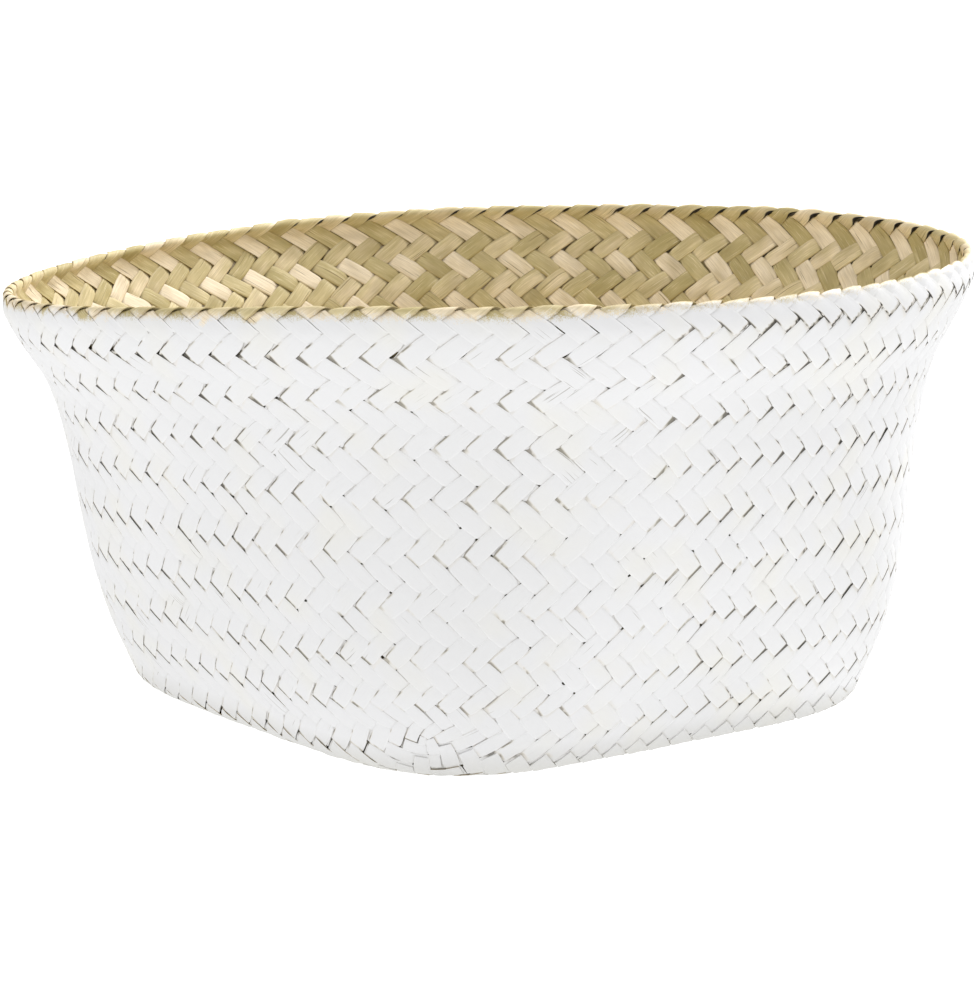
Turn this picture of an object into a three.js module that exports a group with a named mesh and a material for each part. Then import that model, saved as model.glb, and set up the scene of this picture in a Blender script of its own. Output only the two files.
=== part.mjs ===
// A plaited basket of flat strips: a flat square foot with round corners, and a wall that opens out
// to a round, flared mouth. The strips go up the outside, fold over the mouth and come down the inside,
// so wall and bottom are two layers of plait, joined at the slanted folds of the rim.
// Millimetres, +Z up, origin under the middle of the foot on the table. The foot's sides face +X, -X,
// +Y and -Y.
import * as THREE from 'three';

// Overall sizes
const basketHeight = 158;
const footHalfWidth = 100.5;
const footEdgeRadius = 11;
const mouthRadius = 164;

// The wall leaves the foot's round edge at this angle from the upright
const wallLean = THREE.MathUtils.degToRad(22);

// Outline of the wall, from the foot's edge to the crest: share of the height that is left above the
// foot's edge, then share of the way out from the foot's edge to the mouth
const wallOutlineShares = [
  [0, 0],
  [0.165, 0.225],
  [0.375, 0.435],
  [0.582, 0.6],
  [0.77, 0.77],
  [0.875, 0.93],
  [0.947, 1],
  [1, 0.98],
];

// Roundness of a level section: a high exponent is a square with round corners, 2 is a circle
const footExponent = 4.4;
const mouthExponent = 2.11;
const roundingPace = 2.3;

// The plait: two crossed strips make one layer
const plaitThickness = 1.7;
const seamGap = 0.3;

// The rim: each strip of one direction folds over the crest on the slant and laps its neighbour
const foldCount = 92;
const foldReach = 6;
const foldRelief = 0.7;
const foldSlant = THREE.MathUtils.degToRad(53);

// How the hand-made mouth departs from a level circle, and in which direction each wave peaks
const crestLean = { count: 1, size: 8.4, peak: THREE.MathUtils.degToRad(-77) };
const crestSaddle = { count: 2, size: 2.4, peak: THREE.MathUtils.degToRad(39) };
const crestRipple = { count: 3, size: 1.4, peak: THREE.MathUtils.degToRad(-22) };
const mouthShift = { count: 1, size: 2.1, peak: THREE.MathUtils.degToRad(142) };
const mouthOval = { count: 2, size: 3.5, peak: THREE.MathUtils.degToRad(-10) };
const mouthCorners = { count: 4, size: 3, peak: THREE.MathUtils.degToRad(-22.5) };

// How fast these waves die away from the crest down to the foot: powers of the share of the height
const leanPace = 2;
const spreadPace = 1.5;

// Fineness of the solids
const wallColumns = 64;
const wallRows = 11;
const edgeRows = 3;
const crestRows = 4;

// Sizes that follow from those above
const doubleThickness = 2 * plaitThickness + seamGap;
const innerLayerDepth = plaitThickness + seamGap;
const wallFootHalf = footHalfWidth + footEdgeRadius * Math.cos(wallLean);
const wallFootHeight = footEdgeRadius * (1 - Math.sin(wallLean));
const wallTopHeight = basketHeight - foldReach - seamGap;

// Materials
const paintedPlait = new THREE.MeshStandardMaterial({ color: 0xeeeeec, roughness: 0.75, metalness: 0 });
const naturalPlait = new THREE.MeshStandardMaterial({ color: 0xc6b283, roughness: 0.7, metalness: 0 });
const foldedPlait = new THREE.MeshStandardMaterial({ color: 0xd8c79c, roughness: 0.7, metalness: 0 });

// Half width of the wall's outside, to the middle of a side, at a height above the table
const outlineHeights = wallOutlineShares.map(
  ([rise]) => wallFootHeight + rise * (basketHeight - wallFootHeight));
const outlineHalves = wallOutlineShares.map(
  ([, spread]) => wallFootHalf + spread * (mouthRadius - wallFootHalf));
const outline = new THREE.CubicInterpolant(outlineHeights, outlineHalves, 1, [0]);
function wallHalfAt(height) {
  return outline.evaluate(height)[0];
}

function wave({ count, size, peak }, angle) {
  return size * Math.cos(count * (angle - peak));
}

// A station is a place on the outside of the profile: its half width and height, the outward
// direction there, and how far up the basket it lies
function station(half, height, outX, outZ) {
  return { half, height, outX, outZ, rise: height / basketHeight };
}

// The wall's slope is read over a rise as short as the gap between the layers
function wallStation(height) {
  const step = seamGap;
  const slope = (wallHalfAt(height + step) - wallHalfAt(height)) / step;
  const length = Math.hypot(1, slope);
  return station(wallHalfAt(height), height, 1 / length, -slope / length);
}

// The place in space at an angle round the basket, at a depth inside the outside of a station
function placeAt(angle, at, depth) {
  const exponent = mouthExponent + (footExponent - mouthExponent) * Math.pow(1 - at.rise, roundingPace);
  const squareness = Math.pow(
    Math.pow(Math.abs(Math.cos(angle)), exponent) + Math.pow(Math.abs(Math.sin(angle)), exponent),
    -1 / exponent);
  const reach = (at.half - depth * at.outX) * squareness;
  const spread = wave(mouthShift, angle) + wave(mouthOval, angle) + wave(mouthCorners, angle);
  const radius = reach * (1 + spread / mouthRadius * Math.pow(at.rise, spreadPace));
  const lift = wave(crestLean, angle) + wave(crestSaddle, angle) + wave(crestRipple, angle);
  const height = at.height - depth * at.outZ + lift * Math.pow(at.rise, leanPace);
  return new THREE.Vector3(radius * Math.cos(angle), radius * Math.sin(angle), height);
}

// A closed ring: loops holds one closed loop of points for each step round the basket, and each
// loop goes up the outside and down the inside
function ringSolid(loops) {
  const size = loops[0].length;
  const positions = loops.flat().flatMap((point) => point.toArray());
  const faces = [];
  for (let column = 0; column < loops.length; column += 1) {
    const next = (column + 1) % loops.length;
    for (let row = 0; row < size; row += 1) {
      const above = (row + 1) % size;
      const a = column * size + row;
      const b = column * size + above;
      const c = next * size + above;
      const d = next * size + row;
      faces.push(a, c, b, a, d, c);
    }
  }
  const geometry = new THREE.BufferGeometry();
  geometry.setAttribute('position', new THREE.Float32BufferAttribute(positions, 3));
  geometry.setIndex(faces);
  geometry.computeVertexNormals();
  return geometry;
}

// Stations from the foot, round its edge and up the wall to just under the rim's folds
function layerStations() {
  const stations = [];
  for (let step = 0; step < edgeRows; step += 1) {
    const turn = -Math.PI / 2 + (step / edgeRows) * (Math.PI / 2 - wallLean);
    const outX = Math.cos(turn);
    const outZ = Math.sin(turn);
    stations.push(station(
      footHalfWidth + footEdgeRadius * outX, footEdgeRadius * (1 + outZ), outX, outZ));
  }
  for (let row = 0; row <= wallRows; row += 1) {
    const height = wallFootHeight + (row / wallRows) * (wallTopHeight - wallFootHeight);
    stations.push(wallStation(height));
  }
  return stations;
}

// One layer of the wall: its outer face lies at a depth inside the basket's outside
function wallLayer(depth) {
  const stations = layerStations();
  const loops = [];
  for (let column = 0; column < wallColumns; column += 1) {
    const angle = (column / wallColumns) * 2 * Math.PI;
    const outside = stations.map((at) => placeAt(angle, at, depth));
    const inside = stations.map((at) => placeAt(angle, at, depth + plaitThickness));
    loops.push([...outside, ...inside.reverse()]);
  }
  return ringSolid(loops);
}

// One layer of the bottom: a flat mat that fills the ring of the wall's foot
function bottomLayer() {
  const edge = station(footHalfWidth, 0, 1, 0);
  const outlinePoints = [];
  for (let column = 0; column < wallColumns; column += 1) {
    const place = placeAt((column / wallColumns) * 2 * Math.PI, edge, seamGap);
    outlinePoints.push(new THREE.Vector2(place.x, place.y));
  }
  return new THREE.ExtrudeGeometry(new THREE.Shape(outlinePoints), {
    depth: plaitThickness,
    bevelEnabled: false,
  });
}

// Points of the rim's section: up the outside, over the round crest, down the inside. Each has its
// distance along the strip from the crest, its place and the way the fold stands out there.
function rimSection() {
  const crestRadius = doubleThickness / 2;
  const shoulder = basketHeight - foldRelief - crestRadius;
  const hem = basketHeight - foldReach;
  const side = shoulder - hem;
  const quarter = crestRadius * Math.PI / 2;
  const points = [{ along: -quarter - side, depth: 0, height: hem, outX: 1, outZ: 0 }];
  for (let step = 0; step <= crestRows; step += 1) {
    const turn = Math.PI * (step / crestRows);
    points.push({
      along: quarter * (2 * step / crestRows - 1),
      depth: crestRadius * (1 - Math.cos(turn)),
      height: shoulder + crestRadius * Math.sin(turn),
      outX: Math.cos(turn),
      outZ: Math.sin(turn),
    });
  }
  points.push({ along: quarter + side, depth: doubleThickness, height: hem, outX: -1, outZ: 0 });
  return points;
}

// The slanted folds of the rim: each stands out along its leading edge and dips under the next
function foldedRim() {
  const lapShares = [[0, 1], [0.5, 0.8], [0.92, 0]];
  const section = rimSection();
  const pitch = 2 * Math.PI / foldCount;
  const loops = [];
  for (let fold = 0; fold < foldCount; fold += 1) {
    for (const [across, stand] of lapShares) {
      const relief = stand * foldRelief;
      loops.push(section.map((point) => {
        const angle = (fold + across) * pitch + point.along * Math.tan(foldSlant) / mouthRadius;
        const half = wallHalfAt(point.height) - point.depth;
        return placeAt(angle, station(half, point.height, point.outX, point.outZ), -relief);
      }));
    }
  }
  return ringSolid(loops);
}

function piece(name, geometry, material, height = 0) {
  const mesh = new THREE.Mesh(geometry, material);
  mesh.name = name;
  mesh.position.z = height;
  return mesh;
}

const basket = new THREE.Group();
const outerLayer = new THREE.Group();
outerLayer.add(piece('outer_wall', wallLayer(0), paintedPlait));
outerLayer.add(piece('outer_bottom', bottomLayer(), paintedPlait));
const innerLayer = new THREE.Group();
innerLayer.add(piece('inner_wall', wallLayer(innerLayerDepth), naturalPlait));
innerLayer.add(piece('inner_bottom', bottomLayer(), naturalPlait, innerLayerDepth));
basket.add(outerLayer);
basket.add(innerLayer);
basket.add(piece('folded_rim', foldedRim(), foldedPlait));

export default basket;
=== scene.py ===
"""A plaited basket of flat sedge strips in 2/2 twill, white chalk paint outside and bare inside.

Every strip is swept along its own path through the plait: across the bottom, up the outside, over
the rim and down the inside. Sizes are in millimetres and become metres when a mesh is made.
"""
import math
from functools import partial, reduce

import bpy
import numpy as np
from mathutils import Matrix, Vector


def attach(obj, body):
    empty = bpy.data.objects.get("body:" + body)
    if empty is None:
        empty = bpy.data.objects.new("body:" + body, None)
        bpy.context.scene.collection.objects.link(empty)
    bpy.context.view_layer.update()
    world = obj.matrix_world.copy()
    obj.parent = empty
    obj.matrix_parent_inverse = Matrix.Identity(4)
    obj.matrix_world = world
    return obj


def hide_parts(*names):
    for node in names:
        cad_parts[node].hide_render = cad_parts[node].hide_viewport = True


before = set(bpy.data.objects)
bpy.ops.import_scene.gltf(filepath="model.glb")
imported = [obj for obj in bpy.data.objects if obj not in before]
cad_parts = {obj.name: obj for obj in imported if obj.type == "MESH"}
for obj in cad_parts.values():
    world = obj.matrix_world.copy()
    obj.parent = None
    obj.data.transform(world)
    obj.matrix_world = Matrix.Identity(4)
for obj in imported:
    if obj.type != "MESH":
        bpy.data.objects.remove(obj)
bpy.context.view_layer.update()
MM = 0.001

# The form of the basket, as the CAD model has it
BASKET_HEIGHT = 158
FOOT_HALF_WIDTH = 100.5
FOOT_EDGE_RADIUS = 11
MOUTH_RADIUS = 164
WALL_LEAN = math.radians(22)
WALL_OUTLINE_SHARES = ((0, 0), (0.165, 0.225), (0.375, 0.435), (0.582, 0.6),
                       (0.77, 0.77), (0.875, 0.93), (0.947, 1), (1, 0.98))
FOOT_EXPONENT = 4.4
MOUTH_EXPONENT = 2.11
ROUND_EXPONENT = 2
ROUNDING_PACE = 2.3
SPREAD_PACE = 1.5
LEAN_PACE = 2
BULGE_PACE = 4

# How the hand-made mouth departs from a level circle: waves round it, size, direction of a peak
CREST_WAVES = ((1, 8.4, -77), (2, 2.4, 39), (3, 1.4, -22))
MOUTH_WAVES = ((1, 2.1, 142), (2, 3.5, -10), (4, 3, -22.5))

# Where the soft mouth bulges at the photograph's right and left ends: pace, size outwards, size
# upwards, direction
MOUTH_BULGES = ((9, 3.4, -1.6, -37), (9, 1.2, 0, 143))

# The plait. Rows are counted up the outside from where three strips meet at a corner of the foot,
# over the crest and down the inside to where they meet again
SIDE_STRIPS = 23
SIDES = 4
STRIP_COUNT = SIDES * SIDE_STRIPS
CREST_ROW = 37
INNER_FOOT_ROW = 73
STRIP_PITCH = 6.6
MOST_PITCH = 7.8

# Towards the square foot, the strips lie this share further apart than round a circle as wide
SQUARE_GAIN_SHARE = 0.09

# Distances from the crest along the profile, and the rows there: the folds lie flatter than the
# rest, so rows are close at the crest
OUTER_REACH = 162
FOLD_OUTSIDE = 3.1
FOLD_OUTSIDE_ROW = 36
FOLD_INSIDE = 3.3
FOLD_INSIDE_ROW = 38.4
FOLD_HUMP = 1.1

# The outer layer's corners lie this many strips round from the corners of the foot
OUTER_TURN = -0.5
STRIP_THICKNESS = 0.6
STRIP_LIFT = 0.4
OUTER_LIFT = 0.25
LAYER_THICKNESS = 1.7
LAYER_GAP = 0.3
TWILL = 4

# How a strip passes from over to under between two crossings: where it starts and how much of the
# way it takes, its stations on the way, its arch over a crossing strip, how many rows late it is, and
# the share of that on the bottom
PASSING_START = 0.2
PASSING_SHARE = 0.6
PASSING_STATIONS = (0.3, 0.5, 0.7)
ARCH_SHARE = 0.06
LATENESS = 0.04
LEAST_LATENESS_SHARE = 0.001

# Widths as shares of the pitch, and how far a strip is pinched where it passes between two others
WIDTH_SHARES = (0.98, 1.08)
OUTER_PINCH_SHARE = 0.17
INNER_PINCH_SHARE = 0.12
FOLD_WIDTH_SHARES = (0.98, 1.06)
TUCK_WIDTH_SHARES = (0.93, 1.01)
WANDER = 2.4

# How width and pinch change along a strip, per millimetre, and how far apart two strips' changes
# are; how much the width swings, and the least noise that pinches and how strongly it does
WIDTH_CHANGE = (0.05, 3.7)
PINCH_CHANGE = (0.13, 9.1)
WIDTH_SWING_SHARE = 0.3
PINCH_SWING = (0.28, 4.5)

# The plait stands out more and less in patches: patches per metre, range of their noise, range of
# the lift there
RELIEF_PATCHES = 55.0
RELIEF_NOISE = (0.42, 0.58)
RELIEF_SHARES = (0.6, 1.2)

# Points round a strip's section, and the edges that stay sharp
SECTION_POINTS = 12
STRIP_SHARP_EDGE = math.radians(80)
FOLD_SHARP_EDGE = math.radians(60)

# Each fold: rows beside the crest where it bends, steps before, in and after the bend, points across,
# and the ranges of its lap, of the hump of its loose top, of its spread over the next fold and of the
# slit that it leaves. A hill gives where each has its top, in rows from the crest, and its reach
FOLD_BEND_ROWS = 0.8
FOLD_STEPS = (6, 15, 7)
TUCK_STEPS = 12
FOLD_POINTS = 9
FOLD_LAPS = (1, 2.1)
FOLD_HUMPS = (0, 0.2, FOLD_HUMP)
FOLD_SPREADS = (0.35, 0.6)
FOLD_SLITS = (0.08, 0.28)
LAP_HILL = (-0.25, 1.0)
SPREAD_HILL = (-0.6, 0.9)
SLIT_HILL = (0.25, 0.75)
TUCK_GAP_ROWS = 0.1
CROWN_SHARE = 1.12
CROWN_POWER = 4.0

# The folds gape on the inside of the mouth's tightest bend, and lie flatter at the photograph's left
# end: pace, size, direction
RIM_OPENING = (6, 0.3, -10)
RIM_FLATNESS = (4, 0.6, 143)

# Where each strip is cut into the pieces of the model, in rows, always under a crossing strip
OUTER_RISING_FOOT = -1.5
OUTER_FALLING_FOOT = 0.5
INNER_RISING_FOOT = -0.5
INNER_FALLING_FOOT = 1.5
FOLD_START_ROW = 35.5
TUCK_START_ROW = 33.5
FOLD_END_ROW = 39.5
TUCK_END_ROW = 41.5
SHORTEST_STRIP_ROWS = 0.4

# Three strips meet at each corner of the foot in place of four, so the plait is evened out round it
TOP_ROW = 39
EVENED_UP = 20
EVENED_DOWN = 13
EVENING_ROUNDS = 120
EVENING_SWING = 0.8

# Steps of the profile on the bottom, round the foot's edge, up the wall and over the crest, and
# steps of the tables that give directions round the basket
FLAT_STEPS = 20
EDGE_STEPS = 12
WALL_STEPS = 80
CREST_STEPS = 12
TURN_STEPS = 600
EXPONENT_STEPS = 24
SHARE_STEPS = 121

# Sizes that follow from those above
OUTER_DEPTH = LAYER_THICKNESS / 2
INNER_DEPTH = LAYER_THICKNESS + LAYER_GAP + LAYER_THICKNESS / 2
CREST_RADIUS = (INNER_DEPTH - OUTER_DEPTH) / 2
SHOULDER_HEIGHT = BASKET_HEIGHT - CREST_RADIUS - STRIP_LIFT - STRIP_THICKNESS / 2 - FOLD_HUMP / 2
WALL_FOOT_HALF = FOOT_HALF_WIDTH + FOOT_EDGE_RADIUS * math.cos(WALL_LEAN)
WALL_FOOT_HEIGHT = FOOT_EDGE_RADIUS * (1 - math.sin(WALL_LEAN))
QUARTER_TURN = math.pi / 2
FIRST_CORNER = -3 * math.pi / 4

# Tones of the strips, from straw at 0 to olive at 1: mean and spread of those that rise, the two of
# those that fall by turns, with their spread, and how much paler, and how soon, a fold is outside
RISING_TONES = (0.5, 0.19)
FALLING_TONES = (0.0, 0.78)
FALLING_SPREAD = 0.1
FOLD_PALENESS = 0.3
FOLD_PALING_PACE = 1.5

# The paint, by distance from the basket's middle in the direction in which its bare hem narrows:
# where the hem narrows and its depths, where it stops wavering and chipping, where the gaps with
# their painted shade grow and join, where they change sides, and where the painted shade of the
# slits under the folds opens
HEM_WAY = math.radians(-37.16)
HEM_NARROWS = (20, 140)
HEM_DEPTHS = (2.1, 0.1)
WAVER_STOPS = (50, 110)
CHIPS_STOP = (-60, 0)
GAPS_GROW = (30, 130)
GAPS_JOIN = (30, 120)
GAPS_CHANGE_SIDES = (0, 80)
SLITS_OPEN = (-120, 0)

# Heights where the gaps start and the painted shade at the foot ends, and how far the hem wavers,
# frays and chips
GAP_HEIGHTS = (6, 9)
FOOT_SHADE_HEIGHTS = (12, 1)
HEM_WAVER = 4.0
HEM_FRAY = 3.0
HEM_GRAIN = 5.0
CHIP_DEPTH = 3.0

# Sizes of the paint's marks: slow drift of its tint and hem, frayed hem, grain of the leaf, chips,
# patches of the gaps with their painted shade and their breaks, patches of cream, cracks, patches of
# the slits' painted shade, and dents
DRIFT_SIZE = 71.43
FRAY_SIZE = 1.4286
GRAIN_SIZE = 1 / 3
CHIP_SIZE = 14.29
GAP_PATCH_SIZE = 16.67
GAP_BREAK_SIZE = 3.846
CREAM_PATCH_SIZE = 20
CRACK_PATCH_SIZE = 26.32
SLIT_PATCH_SIZE = 11.11
DENT_SIZE = 6.25

# Colours of the sedge, from straw to olive, of its marks and of the paint, with the painted shade
# and painted light laid over them
SEDGE_TONES = ((0.0, "#fcedd2"), (0.25, "#f1e0bd"), (0.55, "#dccd9f"), (1.0, "#b9ab76"))
FIBRE_BROWN = "#8f7b4e"
FIBRE_CREAM = "#fbeed2"
SPLIT_BROWN = "#6a5530"
SHADE_OLIVE = "#8d7c50"
# Painted shade along strips' edges, under crossing strips, in the rim's slits and in deep gaps
EDGE_SHADE_OCHRE = "#8a7138"
DIP_SHADE_BROWN = "#4d3c1a"
SLIT_SHADE_BLACK = "#1d160b"
GAP_SHADE_GREY = "#2b2822"
PAINT_LIGHT = "#e6e6e7"
PAINT_DARK = "#dddddd"
PAINT_CREAM = "#e4e2d8"
PAINT_THIN = "#c8c5bb"
# Painted light along the strips' edges, partly pooled paint
PAINT_THICK_AND_LIT = "#fafaf8"
CRACK_GREY = "#8f8b80"
# Painted shade darkening the coat towards the foot
FOOT_SHADE_GREY = "#c4c3bd"
FLOOR_GREY = "#8a8a8a"
WHITE = "#ffffff"
LEAF_IOR = 1.4

# The photograph's camera, aimed at the middle of the basket's height
CAMERA_DISTANCE = 1567.5
CAMERA_AZIMUTH = math.radians(37.16)
CAMERA_ELEVATION = math.radians(11.53)
CAMERA_ROLL = math.radians(-0.13)
AIM_RIGHT = 1.3
AIM_UP = 5.8
FOCAL_PIXELS = 4361
IMAGE_WIDTH = 980
SENSOR_WIDTH = 36

# The studio: place, size and power of each light, strength of the surround, reach of the floor
KEY_LIGHT = ((1550, 300, 1900), 1000, 68)
FILL_LIGHT = ((-1900, -800, 1600), 1600, 6)
SURROUND_STRENGTH = 0.76
FLOOR_REACH = 12000
FLOOR_GLOW = 0.95

SEED = 7

# Keeps a whole number whole when it was rounded a little below itself
ROUNDING = 1e-6

# Kinds of node that the trees are made of: Blender's name for the node, with the settings of a use
PLUS, MINUS, TIMES, POWER, UNSIGNED, LESSER, GREATER = (
    ("ShaderNodeMath", {"operation": operation})
    for operation in ("ADD", "SUBTRACT", "MULTIPLY", "POWER", "ABSOLUTE", "MINIMUM", "MAXIMUM"))
RAMP = "ShaderNodeMapRange"
NOISE = "ShaderNodeTexNoise"
PLACE = "ShaderNodeCombineXYZ"
MIX = ("ShaderNodeMix", {"data_type": "RGBA"})
SCALED = ("ShaderNodeVectorMath", {"operation": "SCALE"})
CARRIED = ("GeometryNodeInputNamedAttribute", {"data_type": "FLOAT"})
CARRIED_WAY = ("GeometryNodeInputNamedAttribute", {"data_type": "FLOAT_VECTOR"})


def wall_half(height):
    """Half width of the wall's outside at a height: a smooth curve through the outline's points."""
    rise, spread = np.array(WALL_OUTLINE_SHARES).T
    heights = WALL_FOOT_HEIGHT + rise * (BASKET_HEIGHT - WALL_FOOT_HEIGHT)
    halves = WALL_FOOT_HALF + spread * (MOUTH_RADIUS - WALL_FOOT_HALF)
    secants = np.diff(halves) / np.diff(heights)
    slopes = np.concatenate([secants[:1], (secants[1:] + secants[:-1]) / 2, secants[-1:]])
    low = np.clip(np.searchsorted(heights, height, side="right") - 1, 0, len(secants) - 1)
    span = heights[low + 1] - heights[low]
    along = (height - heights[low]) / span
    back = 1 - along
    return (back * back * (1 + 2 * along) * halves[low]
            + along * along * (3 - 2 * along) * halves[low + 1]
            + along * back * span * (back * slopes[low] - along * slopes[low + 1]))


def tape():
    """The profile as one long tape, from the middle of the outer bottom over the crest to the middle
    of the inner bottom: half width, height, and the rise that the shape there follows."""
    def layer(depth):
        half = np.linspace(0, FOOT_HALF_WIDTH, FLAT_STEPS, endpoint=False)
        bottom = [half, half * 0 + depth, half * 0]
        turn = np.linspace(-QUARTER_TURN, -WALL_LEAN, EDGE_STEPS, endpoint=False)
        bend = FOOT_EDGE_RADIUS - depth
        edge = [FOOT_HALF_WIDTH + bend * np.cos(turn), FOOT_EDGE_RADIUS + bend * np.sin(turn),
                FOOT_EDGE_RADIUS * (1 + np.sin(turn))]
        height = np.linspace(WALL_FOOT_HEIGHT, SHOULDER_HEIGHT, WALL_STEPS)
        slope = np.gradient(wall_half(height), height)
        length = np.hypot(1, slope)
        wall = [wall_half(height) - depth / length, height + depth * slope / length, height]
        return np.hstack([bottom, edge, wall])

    turn = np.linspace(0, math.pi, CREST_STEPS)[1:-1]
    middle = wall_half(SHOULDER_HEIGHT) - (OUTER_DEPTH + INNER_DEPTH) / 2
    crest_height = SHOULDER_HEIGHT + CREST_RADIUS * np.sin(turn)
    crest = [middle + CREST_RADIUS * np.cos(turn), crest_height, crest_height]
    return np.hstack([layer(OUTER_DEPTH), crest, layer(INNER_DEPTH)[:, ::-1]])


def squareness(angle, exponent):
    """Reach of a rounded square's outline in a direction, as a share of its half width."""
    return (np.abs(np.cos(angle)) ** exponent + np.abs(np.sin(angle)) ** exponent) ** (-1 / exponent)


def side_turns(exponents, shares):
    """Angle from a corner to each share of the way along a side, for each exponent of the outline."""
    angles = np.linspace(0, QUARTER_TURN, TURN_STEPS)
    table = []
    for exponent in exponents:
        radius = squareness(angles + FIRST_CORNER, exponent)
        steps = np.hypot(np.diff(radius * np.cos(angles)), np.diff(radius * np.sin(angles)))
        length = np.concatenate([[0], np.cumsum(steps)])
        table.append(np.interp(shares * length[-1], length, angles))
    return np.array(table)


TAPE_HALF, TAPE_HEIGHT, TAPE_RISE = tape()
TAPE_AT = np.concatenate([[0], np.cumsum(np.hypot(np.diff(TAPE_HALF), np.diff(TAPE_HEIGHT)))])
TAPE_EXPONENT = (MOUTH_EXPONENT + (FOOT_EXPONENT - MOUTH_EXPONENT)
                 * np.clip(1 - TAPE_RISE / BASKET_HEIGHT, 0, 1) ** ROUNDING_PACE)
TAPE_END = TAPE_AT[-1]
CREST_AT = TAPE_AT[np.argmax(TAPE_HEIGHT)]
EXPONENTS = np.linspace(MOUTH_EXPONENT, FOOT_EXPONENT, EXPONENT_STEPS)
SHARES = np.linspace(0, 1, SHARE_STEPS)
TURNS = side_turns(EXPONENTS, SHARES)


def tape_rows():
    """The plait's row at each place of the tape: strips of one width lie flatter where the wall is
    wider, so its rows are closer there."""
    half_bend = (QUARTER_TURN - WALL_LEAN) / 2
    inner_edge = FOOT_HALF_WIDTH + half_bend * (FOOT_EDGE_RADIUS - INNER_DEPTH)
    outer_start = CREST_AT - OUTER_REACH
    inner_end = TAPE_END - inner_edge
    marks = np.array([0, outer_start, CREST_AT - FOLD_OUTSIDE, CREST_AT, CREST_AT + FOLD_INSIDE,
                      inner_end, TAPE_END])
    rows = [-SIDE_STRIPS, 0, FOLD_OUTSIDE_ROW, CREST_ROW, FOLD_INSIDE_ROW, INNER_FOOT_ROW,
            INNER_FOOT_ROW + SIDE_STRIPS]
    squared = (TAPE_EXPONENT - ROUND_EXPONENT) / (FOOT_EXPONENT - ROUND_EXPONENT)
    along_side = 2 * math.pi * np.maximum(TAPE_HALF, FOOT_HALF_WIDTH) / STRIP_COUNT
    along_side *= 1 + SQUARE_GAIN_SHARE * squared
    pace = 2 * np.sqrt(along_side ** 2 - STRIP_PITCH ** 2) / (STRIP_PITCH * along_side)
    counted = np.concatenate([[0], np.cumsum((pace[1:] + pace[:-1]) / 2 * np.diff(TAPE_AT))])
    wall = np.interp(counted, np.interp(marks, TAPE_AT, counted), rows)
    bottom = np.interp(TAPE_AT, marks, rows)
    return np.where((TAPE_AT > outer_start) & (TAPE_AT < inner_end), wall, bottom)


TAPE_ROW = tape_rows()


def waves(waves_round, angle):
    return sum(size * np.cos(count * (angle - math.radians(peak))) for count, size, peak in waves_round)


def swelling(angle, pace, towards):
    """1 in a direction, given in degrees, and less away from it: a higher pace keeps it narrower."""
    return np.exp(pace * (np.cos(angle - math.radians(towards)) - 1))


def bulges(angle):
    """How far the mouth's bulges move it outwards and upwards in a direction."""
    outwards = sum(size * swelling(angle, pace, towards) for pace, size, _, towards in MOUTH_BULGES)
    upwards = sum(size * swelling(angle, pace, towards) for pace, _, size, towards in MOUTH_BULGES)
    return outwards, upwards


def surface(at, angle):
    """The point of the plait's middle surface at a place of the tape, in a direction."""
    half, height, rise, exponent = (np.interp(at, TAPE_AT, values) for values in
                                    (TAPE_HALF, TAPE_HEIGHT, TAPE_RISE, TAPE_EXPONENT))
    rise = rise / BASKET_HEIGHT
    outwards, upwards = bulges(angle)
    spread = waves(MOUTH_WAVES, angle) * rise ** SPREAD_PACE + outwards * rise ** BULGE_PACE
    radius = half * squareness(angle, exponent) * (1 + spread / MOUTH_RADIUS)
    height = height + waves(CREST_WAVES, angle) * rise ** LEAN_PACE + upwards * rise ** BULGE_PACE
    return np.stack([radius * np.cos(angle), radius * np.sin(angle), height], axis=-1)


def unit(vectors):
    return vectors / np.maximum(np.linalg.norm(vectors, axis=-1, keepdims=True), 1e-9)


def facing(at, angle):
    """The direction that the visible side of the plait faces."""
    step, turn = 0.05, 0.0005
    return unit(np.cross(surface(at, angle + turn) - surface(at, angle - turn),
                         surface(at + step, angle) - surface(at - step, angle)))


def wall_place(column, row):
    """Place on the tape and direction of a point of the wall: columns are counted round the basket,
    one for each strip that rises, from the corner nearest to the photograph's camera."""
    at = np.interp(row, TAPE_ROW, TAPE_AT)
    exponent = np.interp(at, TAPE_AT, TAPE_EXPONENT)
    side = np.floor(column / SIDE_STRIPS)
    share = column / SIDE_STRIPS - side
    down = (exponent - EXPONENTS[0]) / (EXPONENTS[1] - EXPONENTS[0])
    step = share * (len(SHARES) - 1)
    low = np.clip(down.astype(int), 0, len(EXPONENTS) - 2)
    left = np.clip(step.astype(int), 0, len(SHARES) - 2)
    more, right = down - low, step - left
    turn = ((1 - more) * ((1 - right) * TURNS[low, left] + right * TURNS[low, left + 1])
            + more * ((1 - right) * TURNS[low + 1, left] + right * TURNS[low + 1, left + 1]))
    return at, turn + FIRST_CORNER + side * QUARTER_TURN


def rolled_out(at, angle):
    """A layer's place as a point of a plane, with the bottom flat in its middle."""
    reach = (np.minimum(at, FOOT_HALF_WIDTH) * squareness(angle, FOOT_EXPONENT)
             + np.maximum(at - FOOT_HALF_WIDTH, 0))
    return np.stack([reach * np.cos(angle), reach * np.sin(angle)], axis=-1)


def rolled_in(points):
    """The way back from the plane to a place on the tape and a direction."""
    angle = np.arctan2(points[..., 1], points[..., 0])
    reach = np.hypot(points[..., 0], points[..., 1])
    square = squareness(angle, FOOT_EXPONENT)
    at = np.where(reach < FOOT_HALF_WIDTH * square, reach / square,
                  FOOT_HALF_WIDTH + reach - FOOT_HALF_WIDTH * square)
    return at, angle


def on_layer(points, outer):
    """The place in space of a point of a layer's plane."""
    at, angle = rolled_in(points)
    return surface(at if outer else TAPE_END - at, angle)


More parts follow.
